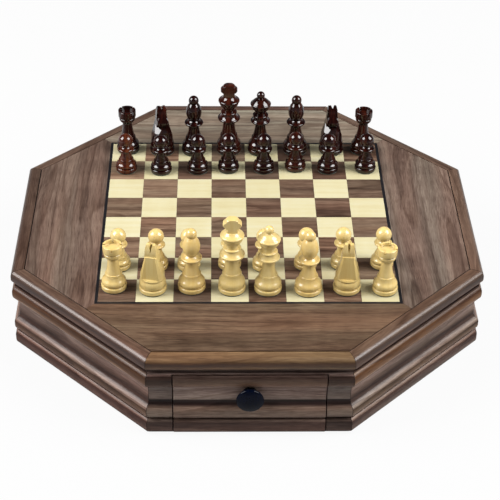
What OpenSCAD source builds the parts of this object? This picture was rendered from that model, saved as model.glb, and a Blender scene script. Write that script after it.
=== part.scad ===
// Octagonal chess box with two drawers and a set of thirty-two turned chessmen.
// Millimetres, +Z up. The origin is on the table, below the middle of the box.
// The white men stand at the front (-Y), the black men at the back (+Y).

/* [Board] */
// Width of the black stringing round the sixty-four squares
stringing_w = 2.2; // [1:0.1:4]
// Thickness of the veneers
veneer_t = 0.8; // [0.6:0.1:1.5]
// Knife line between neighbouring squares
veneer_gap = 0.1; // [0.05:0.05:0.3]
// Width of the shadow line between the veneers and the rim
rim_line_w = 0.8; // [0.2:0.1:1]
// Veneer between a corner of the field and the oblique sides of the rim
corner_gap = 8; // [4:0.5:20]
// Thickness of the core board under the veneers
core_t = 9.2; // [8:0.2:12]

/* [Case] */
// Width of the octagon from flat to flat, over its mouldings
case_w = 360; // [320:1:420]
// Width of the rim moulding round the top
rim_w = 10; // [8:0.5:12]
// Rounding of the rim's upper edge
rim_over = 4.5; // [3:0.25:5]
// Rounding of the rim's lower edge
rim_under = 3; // [2:0.25:4]
// Thickness of the wall boards over their beads
wall_t = 16; // [14:0.5:18]
// Glue line between the pieces of one frame, and under the men
glue_gap = 0.1; // [0.05:0.05:0.2]
// Thickness of the base panel
base_t = 4; // [3:0.5:6]
// Depth of the seat for the base panel in the foot of the walls
base_seat = 6; // [4:0.5:8]
// Thickness of the foot pads
pad_t = 1.5; // [1:0.1:3]
// Diameter of the foot pads
pad_d = 14; // [10:1:20]
// Distance of the foot pads' middles from the outside of the walls
pad_inset = 30; // [25:1:60]

/* [Wall moulding, from the foot up] */
// Height of the plain foot band
foot_band_h = 12.6; // [11:0.2:15]
// Rounding of the band's lower edge
foot_round = 4; // [2:0.25:5]
// Depth of the shoulder at the top of the foot band
foot_drop = 2.2; // [1.5:0.1:2.4]
// Depth of the notch above the foot band
notch_d = 3; // [2.6:0.1:4]
// Height of that notch
notch_h = 1.6; // [1:0.1:3]
// Height of the lower bead
low_bead_h = 10.3; // [9:0.1:13]
// Depth of the shoulder where the lower bead turns into the cove
low_bead_drop = 2; // [1.4:0.1:2.4]
// Depth of the flat recess behind the beads
recess_d = 4.5; // [3.6:0.1:5.5]
// Height of the flat recess
flat_h = 13.7; // [12:0.1:18]
// Width and height of the small step under the upper bead
step_w = 0.8; // [0.5:0.1:1]
// Height of the upper bead
up_bead_h = 11.2; // [10:0.1:14]
// Depth of the fillet above the upper bead
fillet_d = 2.4; // [2:0.1:2.8]
// Height of that fillet
fillet_h = 1.6; // [1:0.1:3]
// Depth of the neck groove under the rim
neck_d = 3.8; // [3:0.1:4.6]
// Height of the neck groove
neck_h = 3.2; // [2:0.1:5]

/* [Drawers] */
// Width of a drawer front
front_w = 110; // [95:1:118]
// Gap round a drawer front
front_gap = 0.8; // [0.4:0.1:1.5]
// How far a closed drawer front stands proud of the wall
front_proud = 0.6; // [0.2:0.1:1.5]
// How far the drawer box is narrower than its front, on each side
side_inset = 2; // [1:0.25:4]
// Thickness of the drawer sides and back
side_t = 7; // [5:0.5:9]
// Height of the drawer sides
side_h = 40; // [30:0.5:44]
// Thickness of the drawer bottom
bottom_t = 3; // [2:0.25:5]
// Height of the groove that holds the drawer bottom above the sides' lower edge
groove_z = 3; // [2:0.25:6]
// Depth of that groove
groove_d = 3; // [2:0.25:4]
// Running clearance of a drawer on its guides and on the base
run_gap = 0.3; // [0.1:0.05:0.5]
// Play of a drawer bottom in its groove
groove_play = 0.1; // [0.05:0.05:0.3]
// Thickness of the drawer guides
guide_t = 8; // [6:0.5:12]
// Thickness of the divider between the two drawers
divider_t = 8; // [6:0.5:14]
// Gap between the back of a closed drawer and the divider
stop_gap = 0.3; // [0.1:0.05:1]

/* [Knobs] */
// Diameter of a knob
knob_d = 20; // [16:0.5:24]
// Diameter of the knob's neck
knob_neck_d = 9; // [8:0.25:12]
// How far a knob stands off the recess of its drawer front
knob_h = 12; // [10:0.25:16]
// Thickness of the knob's head at its edge
knob_edge = 2.6; // [1.5:0.1:4]
// Diameter of the knob screw
screw_d = 4; // [3:0.25:5]
// Depth of the screw in the knob
screw_in = 7; // [5:0.25:8]
// Diameter of the screw's head
screw_head_d = 8; // [6:0.25:9]
// Height of the screw's head
screw_head_h = 2.2; // [1.5:0.1:3]
// Clearance of the screw in the drawer front, on the diameter
screw_play = 0.4; // [0.2:0.1:1]
// Clearance of the screw in the knob's thread, on the diameter
thread_play = 0.1; // [0.05:0.05:0.2]

/* [Chessmen] */
// Height of the kings
king_h = 63.5; // [58:0.5:70]
// Height of the queens
queen_h = 57.2; // [52:0.5:64]
// Height of the bishops
bishop_h = 53.2; // [48:0.5:60]
// Height of the knights
knight_h = 43.2; // [40:0.4:48]
// Height of the rooks
rook_h = 39.2; // [36:0.5:46]
// Height of the pawns
pawn_h = 34.2; // [31:0.5:40]
// Base diameter of the kings, queens, bishops and knights
piece_d = 20.8; // [18.5:0.1:22]
// Base diameter of the rooks
rook_d = 19.1; // [17.5:0.1:21]
// Base diameter of the pawns
pawn_d = 17.7; // [16:0.1:20]
// Thickness of the felt under each man
felt_t = 0.6; // [0.4:0.1:1.2]
// Width of the slots in a rook's battlements
slot_w = 1.6; // [1:0.1:2.4]

/* [Hidden] */
$fn = 64;
SIDES = 8;
HALF_CORNER = 180 / SIDES;
SIDE_ANGLE = 2 * HALF_CORNER;
QUARTER_TURNS = [0 : 2 : SIDES - 1];
HALF_TURNS = [0, SIDES / 2];
RANKS = 8;
FILES = ["a", "b", "c", "d", "e", "f", "g", "h"];
BACK_RANK = ["rook", "knight", "bishop", "king", "queen", "bishop", "knight", "rook"];

// The sides of the case, counterclockwise from the back
SIDE_NAMES = [
    "wall_back", "wall_back_left", "wall_left", "wall_front_left",
    "wall_front", "wall_front_right", "wall_right", "wall_back_right"
];

// How far each man stands off the middle of its square, from file a to file h
WHITE_BACK_OFF = [[-2.5, 4], [-1.5, 1.5], [-0.5, 3.5], [1.5, 2], [0.5, 1.5], [2.5, 0.5], [3.5, 2], [4, 0.5]];
WHITE_PAWN_OFF = [[0, 3], [0.5, 2.5], [-3, 2.5], [0, 4], [-2, 2.5], [2, 4], [2, 4.5], [4.5, 5]];
BLACK_BACK_OFF = [[-1, 4.5], [0, 3], [-1, 3], [0.5, 4], [-1, 3.5], [1, 4], [3.5, 4], [2, 4]];
BLACK_PAWN_OFF = [[-1, 1], [0, -1], [2.5, 0.5], [0, 2], [1.5, 1.5], [0, 4], [-1, 1.5], [2.5, 2]];
// Angle by which each man of the back ranks is turned on its own axis
WHITE_ANGLE = [0, -12, 0, 0, 0, 0, -4, -25];
BLACK_ANGLE = [45, 12, 0, 0, 0, 0, 3, 30];

// Heights of the case, from the table up
wall_z = pad_t;
band_top = foot_band_h;
bead_z = band_top + notch_h;
cove_z = bead_z + low_bead_h;
CORNER_SWEEP = 60;
cove_h = (recess_d - low_bead_drop) / tan(CORNER_SWEEP / 2);
flat_z = cove_z + cove_h;
up_bead_z = flat_z + flat_h;
fillet_z = up_bead_z + up_bead_h;
neck_z = fillet_z + fillet_h;
wall_h = neck_z + neck_h;
top_z = wall_z + wall_h;
rim_h = core_t + veneer_t;
play_z = top_z + rim_h;

// Half widths of the case and of the board; the field reaches to its oblique sides
inner_half = case_w / 2 - wall_t;
core_half = case_w / 2 - rim_w;
base_half = inner_half + base_seat;
border_half = (core_half - rim_line_w - corner_gap) / sqrt(2);
field_half = border_half - stringing_w;
square = 2 * field_half / RANKS;
pad_r = case_w / 2 - pad_inset;

// Drawers, which run in and out along Y
open_w = front_w + 2 * front_gap;
front_h = fillet_z - front_gap;
box_w = front_w - 2 * side_inset;
box_z = wall_z + base_t + run_gap;
box_y = inner_half + front_proud;
box_len = box_y - divider_t / 2 - stop_gap;
guide_x = box_w / 2 + run_gap;
knob_z = wall_z + flat_z + flat_h / 2;
knob_y = case_w / 2 - recess_d + front_proud;

// Names of the men, from file a to file h
function man_name(colour, kind, file) =
    (kind == "king" || kind == "queen") ? str(colour, "_", kind) : str(colour, "_", kind, "_", FILES[file]);
// One man: name, colour, kind, file, rank, offset and angle
function rank_of_men(colour, kinds, rank, offs, angles, facing) =
    [for (f = [0 : RANKS - 1]) let (kind = kinds[f])
        [man_name(colour, kind, f), colour, kind, f, rank, offs[f], facing + angles[f]]];
PAWNS = [for (f = FILES) "pawn"];
STRAIGHT = [for (f = FILES) 0];
MEN = concat(
    rank_of_men("white", BACK_RANK, 0, WHITE_BACK_OFF, WHITE_ANGLE, 0),
    rank_of_men("white", PAWNS, 1, WHITE_PAWN_OFF, STRAIGHT, 0),
    rank_of_men("black", PAWNS, 6, BLACK_PAWN_OFF, STRAIGHT, 180),
    rank_of_men("black", BACK_RANK, 7, BLACK_BACK_OFF, BLACK_ANGLE, 180)
);

// ---- Outlines ----

// Most degrees that one step of a round outline turns through
ARC_STEP = 15;

// Points of a round stretch from a to b that turns through sweep degrees.
// Going up, a positive sweep bulges towards +X.
function bow(a, b, sweep) =
    let (
        n = max(3, ceil(abs(sweep) / ARC_STEP)),
        chord = norm(b - a),
        along = (b - a) / chord,
        out = [along.y, -along.x],
        r = chord / 2 / sin(sweep / 2),
        centre = (a + b) / 2 - out * r * cos(sweep / 2)
    )
    [for (i = [0 : n]) let (f = sweep * (i / n - 0.5)) centre + r * (cos(f) * out + sin(f) * along)];

// A rounded shoulder that falls back by drop from an edge, up to height top
function shoulder(edge, top, drop, sweep) =
    bow([edge, top - drop / tan(sweep / 2)], [edge - drop, top], sweep);

// The same below an edge, from height bottom
function undercut(edge, bottom, drop, sweep) =
    bow([edge - drop, bottom], [edge, bottom + drop / tan(sweep / 2)], sweep);

// Section of a wall board: distance from its inner face, height above its foot
wall_section = concat(
    [[0, 0]],
    undercut(wall_t, 0, foot_round, 90),
    shoulder(wall_t, band_top, foot_drop, CORNER_SWEEP),
    [[wall_t - notch_d, band_top], [wall_t - notch_d, bead_z]],
    undercut(wall_t, bead_z, low_bead_drop, CORNER_SWEEP),
    shoulder(wall_t, cove_z, low_bead_drop, CORNER_SWEEP),
    bow([wall_t - low_bead_drop, cove_z], [wall_t - recess_d, flat_z], -CORNER_SWEEP),
    [[wall_t - recess_d, up_bead_z - step_w], [wall_t - recess_d + step_w, up_bead_z - step_w]],
    [[wall_t - recess_d + step_w, up_bead_z]],
    undercut(wall_t, up_bead_z, fillet_d, CORNER_SWEEP),
    shoulder(wall_t, fillet_z, fillet_d, CORNER_SWEEP),
    [[wall_t - fillet_d, neck_z], [wall_t - neck_d, neck_z], [wall_t - neck_d, wall_h], [0, wall_h]]
);

// Section of the rim: distance from its inner edge, height above its lower face
rim_section = concat(
    [[0, 0]],
    undercut(rim_w, 0, rim_under, 90),
    shoulder(rim_w, rim_h, rim_over, 90),
    [[0, rim_h]]
);

// An octagonal plate with a flat side towards +Y, half its width given
module octagon(half, h) {
    rotate(HALF_CORNER)
        cylinder(r = half / cos(HALF_CORNER), h = h, $fn = SIDES);
}

// A moulded strip along the back side of the octagon, its inner face at inner
module strip(section, inner, length) {
    translate([-length / 2, inner, 0])
        rotate([90, 0, 90])
            linear_extrude(height = length)
                polygon(section);
}

// The wedge of one side of a frame, half a glue line short of its mitres
module wedge(half_angle, h) {
    translate([0, glue_gap / 2 / sin(half_angle), 0])
        linear_extrude(height = h)
            polygon([[0, 0], case_w * [tan(half_angle), 1], case_w * [-tan(half_angle), 1]]);
}

// The same strip, mitred to meet its neighbours
module mitred_strip(section, inner, h) {
    intersection() {
        strip(section, inner, case_w * tan(HALF_CORNER));
        wedge(HALF_CORNER, h);
    }
}

// ---- Case ----

// The base panel lies in a seat in the foot of every wall, and stops behind the drawer fronts
module base_panel() {
    color("burlywood")
        difference() {
            translate([0, 0, wall_z])
                octagon(base_half, base_t);
            for (k = HALF_TURNS)
                rotate(k * SIDE_ANGLE)
                    translate([-open_w / 2, inner_half, 0])
                        cube([open_w, case_w, wall_z + 2 * base_t]);
        }
}

module foot_pads() {
    color("black")
        for (k = QUARTER_TURNS)
            rotate((k + 1) * SIDE_ANGLE)
                translate([0, pad_r, 0])
                    cylinder(d = pad_d, h = pad_t);
}

// A plain wall board, with its seat for the base panel
module wall(turn) {
    color("sienna")
        difference() {
            translate([0, 0, wall_z])
                rotate(turn)
                    mitred_strip(wall_section, inner_half, wall_h);
            translate([0, 0, wall_z])
                octagon(base_half, base_t);
        }
}

// A wall board whose middle is cut out for a drawer front, up to the fillet
module drawer_wall(turn) {
    color("sienna")
        difference() {
            wall(turn);
            rotate(turn)
                translate([-open_w / 2, 0, 0])
                    cube([open_w, case_w, wall_z + fillet_z]);
        }
}

// A side of the case; the ones at the back and at the front have a drawer
module case_side(k) {
    if (k % (SIDES / 2) == 0)
        drawer_wall(k * SIDE_ANGLE);
    else
        wall(k * SIDE_ANGLE);
}

module top_rim() {
    color("sienna")
        for (k = [0 : SIDES - 1])
            translate([0, 0, top_z])
                rotate(k * SIDE_ANGLE)
                    mitred_strip(rim_section, core_half, rim_h);
}

module top_board() {
    color("tan")
        translate([0, 0, top_z])
            octagon(core_half, core_t);
}

// Four walnut veneers from the stringing out to the rim, mitred at the corners
module veneer_border() {
    color("saddlebrown")
        for (k = QUARTER_TURNS)
            rotate(k * SIDE_ANGLE)
                translate([0, 0, play_z - veneer_t])
                    intersection() {
                        octagon(core_half - rim_line_w, veneer_t);
                        wedge(SIDE_ANGLE, veneer_t);
                        translate([-core_half, border_half + veneer_gap / 2, 0])
                            cube([2 * core_half, core_half, veneer_t]);
                    }
}

// Four black strips, mitred at the corners of the field
module stringing() {
    color("black")
        for (k = QUARTER_TURNS)
            rotate(k * SIDE_ANGLE)
                translate([0, 0, play_z - veneer_t])
                    intersection() {
                        wedge(SIDE_ANGLE, veneer_t);
                        translate([-border_half, field_half, 0])
                            cube([2 * border_half, stringing_w, veneer_t]);
                    }
}

// Middle of the square of a file and a rank, each counted from 0
function square_at(file, rank) = [for (n = [file, rank]) (n + 0.5) * square - field_half];

// The squares of one wood; the corner square at file a, rank 0 is dark
module squares(odd) {
    for (file = [0 : RANKS - 1], rank = [0 : RANKS - 1])
        if ((file + rank) % 2 == odd)
            translate(concat(square_at(file, rank), play_z - veneer_t / 2))
                cube([square - veneer_gap, square - veneer_gap, veneer_t], center = true);
}

module maple_squares() {
    color("wheat") squares(1);
}

module walnut_squares() {
    color("saddlebrown") squares(0);
}

// Two upright panels that carry the top and guide both drawers
module drawer_guides() {
    color("burlywood")
        for (side = [0, 1])
            mirror([side, 0, 0])
                translate([guide_x, -inner_half, wall_z + base_t])
                    cube([guide_t, 2 * inner_half, wall_h - base_t]);
}

module centre_divider() {
    color("burlywood")
        translate([-guide_x, -divider_t / 2, wall_z + base_t])
            cube([2 * guide_x, divider_t, wall_h - base_t]);
}

// ---- Drawers, drawn at the back and turned to their side ----

// Space of the drawer bottom in its grooves, or the bottom itself with play
module bottom_panel(play) {
    w = box_w - 2 * side_t + 2 * groove_d;
    translate([-w / 2 + play, box_y - box_len + side_t - groove_d + play, box_z + groove_z])
        cube([w - 2 * play, box_len - side_t + 2 * groove_d - 2 * play, bottom_t + groove_play - play]);
}

module screw_bore(d) {
    translate([0, knob_y - wall_t, knob_z])
        rotate([-90, 0, 0])
            cylinder(d = d, h = wall_t + screw_in);
}

// The front is cut from the same moulding as the walls
module drawer_front() {
    color("sienna")
        difference() {
            intersection() {
                translate([0, front_proud, wall_z])
                    strip(wall_section, inner_half, front_w);
                translate([-front_w / 2, 0, 0])
                    cube([front_w, case_w, wall_z + front_h]);
            }
            screw_bore(screw_d + screw_play);
            bottom_panel(0);
        }
}

// Two sides and a back, glued between them, grooved for the bottom
module drawer_box() {
    back_w = box_w - 2 * side_t - 2 * glue_gap;
    color("burlywood")
        difference() {
            union() {
                for (side = [0, 1])
                    mirror([side, 0, 0])
                        translate([box_w / 2 - side_t, box_y - box_len, box_z])
                            cube([side_t, box_len, side_h]);
                translate([-back_w / 2, box_y - box_len, box_z])
                    cube([back_w, side_t, side_h]);
            }
            bottom_panel(0);
        }
}

module drawer_bottom() {
    color("burlywood") bottom_panel(groove_play);
}

// A mushroom knob, turned about its screw: foot, hollow neck, edge and domed face
module drawer_knob() {
    foot_w = 0.8;
    foot_h = 0.8;
    neck_z = 1.4;
    neck_sweep = -64;
    edge_sweep = 130;
    edge_r = knob_d / 2 - knob_edge / 2 * tan(edge_sweep / 4);
    face_sweep = 24;
    edge_z = knob_h - edge_r * tan(face_sweep / 2);
    outline = concat(
        [[0, 0], [knob_neck_d / 2 + foot_w, 0], [knob_neck_d / 2 + foot_w, foot_h]],
        bow([knob_neck_d / 2, neck_z], [edge_r, edge_z - knob_edge], neck_sweep),
        bow([edge_r, edge_z - knob_edge], [edge_r, edge_z], edge_sweep),
        bow([edge_r, edge_z], [0, knob_h], face_sweep)
    );
    color("black")
        difference() {
            translate([0, knob_y, knob_z])
                rotate([-90, 0, 0])
                    rotate_extrude()
                        polygon(outline);
            screw_bore(screw_d + thread_play);
        }
}

module knob_screw() {
    head_y = inner_half + front_proud;
    color("silver")
        union() {
            translate([0, head_y, knob_z])
                rotate([-90, 0, 0])
                    cylinder(d = screw_d, h = knob_y - head_y + screw_in);
            translate([0, head_y - screw_head_h, knob_z])
                rotate([-90, 0, 0])
                    cylinder(d = screw_head_d, h = screw_head_h);
        }
}

// ---- Chessmen, each turned about Z on its own felt ----

// Sizes that the men share: edges, steps between two mouldings, foot, ring and fillet
EDGE_R = 0.5;
QUIRK = 0.2;
FELT_IN = 0.6;
PLINTH_H = 4.4;
PLINTH_R = 0.8;
BELL_IN = 1.5;
BELL_EDGE = 0.4;
BELL_STEP = 0.3;
SHOULDER_UP = 0.55;
SHOULDER_OUT = 0.55;
RING_H = 1;
FLARE_W = 2.2;
FLARE_H = 3;
FILLET_W = 1.5;
FILLET_H = 1.5;
CUP_W = 1;
CUP_RISE = 0.5;
// Sweeps of their round mouldings, in degrees
EDGE_SWEEP = 80;
BEAD_SWEEP = 150;
SKIRT_SWEEP = -36;
STEM_SWEEP = -14;
FLARE_SWEEP = -62;
SLOPE_SWEEP = -44;
CROWN_SWEEP = -16;
CUP_SWEEP = 56;
wood_z = felt_t + glue_gap;

// A round foot plate of radius r, up to its upper edge
function plinth_outline(r) =
    concat(
        [[0, wood_z]],
        bow([r - PLINTH_R, wood_z], [r, wood_z + PLINTH_R], EDGE_SWEEP),
        bow([r, PLINTH_H - PLINTH_R], [r - PLINTH_R, PLINTH_H], EDGE_SWEEP)
    );

// A round stretch from a to b that bulges out to about radius r
function bulge(a, b, r) = bow(a, b, 4 * atan((2 * r - a.x - b.x) / norm(b - a)));

// Plinth, round-shouldered bell, hollow skirt and ring, from the felt up to the ring's upper edge
function foot_outline(r, ring_r, ring_z) =
    let (
        under_z = ring_z - RING_H,
        shoulder = [
            ring_r + SHOULDER_OUT * (r - ring_r),
            PLINTH_H + SHOULDER_UP * (under_z - PLINTH_H)
        ]
    )
    concat(
        plinth_outline(r),
        bulge([r - BELL_IN, PLINTH_H], shoulder, r - BELL_EDGE),
        bow(shoulder, [ring_r + BELL_STEP, under_z], SKIRT_SWEEP),
        bow([ring_r - RING_H / 4, under_z], [ring_r - RING_H / 4, ring_z], BEAD_SWEEP)
    );

// Stem, hollowed from the ring to the underside of the collar
function stem_outline(ring_r, ring_z, stem_r, collar_r, collar_z) =
    concat(
        bow([ring_r - RING_H / 2, ring_z], [stem_r, collar_z - FLARE_H], STEM_SWEEP),
        bow([stem_r, collar_z - FLARE_H], [collar_r - FLARE_W, collar_z], FLARE_SWEEP)
    );

// Collar: a bead and a hollow slope that ends at the neck
function collar_outline(r, z, bead, neck_r, neck_z) =
    let (edge_r = r - bead / 2)
    concat(
        bow([edge_r, z], [edge_r, z + bead], BEAD_SWEEP),
        bow([edge_r - bead / 4, z + bead], [neck_r, neck_z], SLOPE_SWEEP)
    );

// A hollow neck over a fillet, and a cup that swells from it to a beaded rim
function crown_outline(neck_r, neck_z, rim_r, rim_z, bead) =
    let (
        fillet_r = neck_r + FILLET_W,
        edge_r = rim_r - bead / 2,
        cup = [neck_r + CUP_W, neck_z + (rim_z - neck_z) * CUP_RISE]
    )
    concat(
        bow([fillet_r, neck_z - FILLET_H], [fillet_r, neck_z], BEAD_SWEEP),
        bow([neck_r, neck_z], cup, CROWN_SWEEP),
        bow(cup + [QUIRK, 0], [edge_r, rim_z], CUP_SWEEP),
        bow([edge_r, rim_z], [edge_r, rim_z + bead], BEAD_SWEEP)
    );

// Height where a ball of radius r, up to height top, meets its neck
function ball_z(r, neck_r, top) = top - r - sqrt(r * r - neck_r * neck_r);

// That ball, from its neck up
function ball_outline(r, neck_r, top) =
    bow([neck_r, ball_z(r, neck_r, top)], [0, top], 180 - asin(neck_r / r));

// A felt disc under a man of base radius r
module felt_and(r) {
    cylinder(r = r - FELT_IN, h = felt_t);
    children();
}

module pawn() {
    ring_r = 5.9;
    ring_z = 11.6;
    stem_r = 4.1;
    collar_r = 7;
    collar_t = 1.9;
    collar_h = 3;
    neck_r = 3.6;
    neck_h = 0.5;
    ball_r = 6;
    ball_neck_r = neck_r - QUIRK;
    collar_z = ball_z(ball_r, ball_neck_r, pawn_h) - neck_h - collar_h;
    felt_and(pawn_d / 2)
        rotate_extrude()
            polygon(concat(
                foot_outline(pawn_d / 2, ring_r, ring_z),
                stem_outline(ring_r, ring_z, stem_r, collar_r, collar_z),
                collar_outline(collar_r, collar_z, collar_t, neck_r, collar_z + collar_h),
                ball_outline(ball_r, ball_neck_r, pawn_h)
            ));
}

// A rook: its cup is hollowed at the top and slotted crosswise
module rook() {
    ring_r = 6.2;
    ring_z = 14.4;
    stem_r = 4;
    flare_h = 1.6;
    flare_sweep = -40;
    cup_low_r = 4.8;
    cup_sweep = 74;
    bead_r = 6.6;
    bead_h = 3.9;
    lip_sweep = 40;
    lip_h = 1.2;
    cup_r = 7.3;
    cup_h = 10.9;
    well_r = 5.6;
    well_d = 2.8;
    slot_d = 2.4;
    cup_z = rook_h - cup_h;
    lip_z = cup_z + bead_h + 2 * QUIRK;
    felt_and(rook_d / 2)
        difference() {
            rotate_extrude()
                polygon(concat(
                    foot_outline(rook_d / 2, ring_r, ring_z),
                    bow([ring_r - RING_H / 2, ring_z], [stem_r, cup_z - flare_h], STEM_SWEEP),
                    bow([stem_r, cup_z - flare_h], [cup_low_r, cup_z], flare_sweep),
                    bow([cup_low_r, cup_z], [bead_r, cup_z + bead_h], cup_sweep),
                    [[bead_r - 2 * QUIRK, lip_z]],
                    bow([bead_r, lip_z], [cup_r, lip_z + lip_h], lip_sweep),
                    bow([cup_r, rook_h - EDGE_R], [cup_r - EDGE_R, rook_h], EDGE_SWEEP),
                    [[well_r, rook_h], [well_r - QUIRK, rook_h - well_d], [0, rook_h - well_d]]
                ));
            for (turn = [0, 90])
                rotate(turn)
                    translate([-slot_w / 2, -rook_d / 2, rook_h - slot_d])
                        cube([slot_w, rook_d, well_d]);
        }
}

module bishop() {
    ring_r = 6.8;
    ring_z = 14.8;
    stem_r = 4.2;
    collar_r = 8.1;
    collar_t = 1.7;
    collar_h = 3.4;
    neck_r = 4.2;
    head_h = 15.8;
    head_r = 6.6;
    tip_r = 3.6;
    ball_r = 4.2;
    ball_neck_r = 3.4;
    head_top = ball_z(ball_r, ball_neck_r, bishop_h);
    head_z = head_top - head_h;
    collar_z = head_z - collar_h;
    felt_and(piece_d / 2)
        rotate_extrude()
            polygon(concat(
                foot_outline(piece_d / 2, ring_r, ring_z),
                stem_outline(ring_r, ring_z, stem_r, collar_r, collar_z),
                collar_outline(collar_r, collar_z, collar_t, neck_r, head_z),
                bulge([neck_r, head_z], [tip_r, head_top], head_r),
                ball_outline(ball_r, ball_neck_r, bishop_h)
            ));
}

module queen() {
    ring_r = 6.7;
    ring_z = 15.2;
    stem_r = 4.2;
    collar_r = 8.5;
    collar_t = 1.9;
    collar_h = 5.4;
    neck_r = 4.5;
    crown_r = 8.9;
    crown_h = 8.8;
    crown_bead = 2.2;
    dome_r = 7.8;
    dome_h = 4.2;
    dome_top_r = 2.7;
    dome_sweep = 34;
    ball_r = 3.4;
    ball_neck_r = 2.4;
    dome_top = ball_z(ball_r, ball_neck_r, queen_h) - QUIRK;
    dome_z = dome_top - dome_h;
    rim_z = dome_z - crown_bead;
    neck_z = rim_z - crown_h;
    collar_z = neck_z - FILLET_H - collar_h;
    felt_and(piece_d / 2)
        rotate_extrude()
            polygon(concat(
                foot_outline(piece_d / 2, ring_r, ring_z),
                stem_outline(ring_r, ring_z, stem_r, collar_r, collar_z),
                collar_outline(collar_r, collar_z, collar_t, neck_r + FILLET_W - QUIRK, neck_z - FILLET_H),
                crown_outline(neck_r, neck_z, crown_r, rim_z, crown_bead),
                bow([dome_r, dome_z], [dome_top_r, dome_top], dome_sweep),
                ball_outline(ball_r, ball_neck_r, queen_h)
            ));
}

// Outline of a turned finial: a foot, a round ring for the arms and a round-shouldered head
function cross_outline(foot_r, arm_r, head_r, h) =
    let (
        waist_z = h * 0.3,
        arm_low_z = h * 0.46,
        arm_high_z = h * 0.78,
        shoulder_h = h * 0.14,
        tip_w = 0.7,
        tip_r = arm_r - tip_w,
        waist_sweep = -50,
        tip_sweep = 120,
        shoulder_sweep = 70
    )
    concat(
        [[0, 0], [foot_r, 0]],
        bow([foot_r, waist_z], [tip_r, arm_low_z], waist_sweep),
        bow([tip_r, arm_low_z], [tip_r, arm_high_z], tip_sweep),
        [[head_r, arm_high_z + tip_w]],
        bow([head_r, h - shoulder_h], [head_r - shoulder_h, h], shoulder_sweep),
        [[0, h]]
    );

// The king's cross: that finial, cut flat at the front and at the back
module cross(foot_r, arm_r, head_r, h, t) {
    intersection() {
        rotate_extrude()
            polygon(cross_outline(foot_r, arm_r, head_r, h));
        translate([-arm_r, -t / 2, 0])
            cube([2 * arm_r, t, h]);
    }
}

module king() {
    ring_r = 6.9;
    ring_z = 16.8;
    stem_r = 4.9;
    collar_r = 9.7;
    collar_t = 2;
    collar_h = 5.8;
    neck_r = 4.7;
    crown_r = 9.2;
    crown_h = 9;
    crown_bead = 2.4;
    dome_r = 7.6;
    dome_top_r = 4.6;
    dome_h = 2.5;
    dome_sweep = -30;
    cross_foot_r = 4.8;
    cross_arm_r = 6.9;
    cross_head_r = 5.2;
    cross_h = 11;
    cross_t = 6.6;
    cross_in = 1;
    dome_z = king_h - cross_h - dome_h;
    rim_z = dome_z - crown_bead;
    neck_z = rim_z - crown_h;
    collar_z = neck_z - FILLET_H - collar_h;
    felt_and(piece_d / 2)
        union() {
            rotate_extrude()
                polygon(concat(
                    foot_outline(piece_d / 2, ring_r, ring_z),
                    stem_outline(ring_r, ring_z, stem_r, collar_r, collar_z),
                    collar_outline(collar_r, collar_z, collar_t, neck_r + FILLET_W - QUIRK, neck_z - FILLET_H),
                    crown_outline(neck_r, neck_z, crown_r, rim_z, crown_bead),
                    bow([dome_r, dome_z], [dome_top_r, dome_z + dome_h], dome_sweep),
                    [[0, dome_z + dome_h]]
                ));
            translate([0, 0, king_h - cross_h - cross_in])
                cross(cross_foot_r, cross_arm_r, cross_head_r, cross_h + cross_in, cross_t);
        }
}

// Heights of a knight's features below the tips of its ears
KNIGHT_EAR = 1.6;
KNIGHT_FACE = 3;
KNIGHT_CHEEK = 7.2;
KNIGHT_POLL = 10.6;
KNIGHT_NOSE = 11.8;
KNIGHT_MOUTH = 14.4;
KNIGHT_JAW = 15.6;
KNIGHT_CHEST = 18.7;
KNIGHT_FACET = 23.4;
// Half widths of a knight's foot above the ring, of its neck, mane, head and ears
SKIRT_R = 9.1;
MANE_R = 8;
NECK_R = 4.8;
HEAD_R = 4.4;
EAR_R = 3;
// How far forward its muzzle, brow and ears stand, and how far back its mane
MUZZLE_Y = 7;
CHEST_Y = 6.2;
THROAT_Y = 4;
BROW_Y = 1.2;
EAR_Y = -1.6;
POLL_Y = -3.2;
MANE_Y = -5.2;
MANE_FOOT_Y = -6.6;
HEM_H = 1.2;
CHIN_H = 0.4;

// Side view of a knight, counterclockwise from the foot of its chest: forward, height
function knight_side(h) = concat(
    [[SKIRT_R, 0]],
    bow([SKIRT_R, HEM_H], [CHEST_Y, h - KNIGHT_CHEST], 30),
    [[THROAT_Y, h - KNIGHT_JAW - 1], [MUZZLE_Y - 0.6, h - KNIGHT_JAW - CHIN_H]],
    bow([MUZZLE_Y - QUIRK, h - KNIGHT_JAW], [MUZZLE_Y, h - KNIGHT_NOSE], 80),
    bow([MUZZLE_Y - 2 * QUIRK, h - KNIGHT_NOSE], [BROW_Y, h - KNIGHT_FACE], -10),
    [[BROW_Y - 0.8, h - KNIGHT_FACE + 0.8], [EAR_Y, h], [POLL_Y, h - KNIGHT_EAR / 2]],
    bow([POLL_Y - QUIRK, h - KNIGHT_EAR / 2 - 2 * QUIRK], [MANE_Y + CHIN_H, h - KNIGHT_POLL], 24),
    [[MANE_Y - CHIN_H, h - KNIGHT_POLL - QUIRK], [MANE_FOOT_Y, 0]]
);

// Half of its front view: the foot narrows to the neck, the head stays even
function knight_half(h) = concat(
    [[0, 0], [SKIRT_R, 0]],
    bow([SKIRT_R, HEM_H], [NECK_R, h - KNIGHT_NOSE - 1], -6),
    [[HEAD_R, h - KNIGHT_CHEEK - 2.4], [HEAD_R - CHIN_H, h - KNIGHT_FACE], [EAR_R, h], [0, h]]
);

// A view of a knight, extruded right through it
module through(points) {
    translate([0, 0, -piece_d / 2])
        linear_extrude(height = piece_d)
            polygon(points);
}

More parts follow.
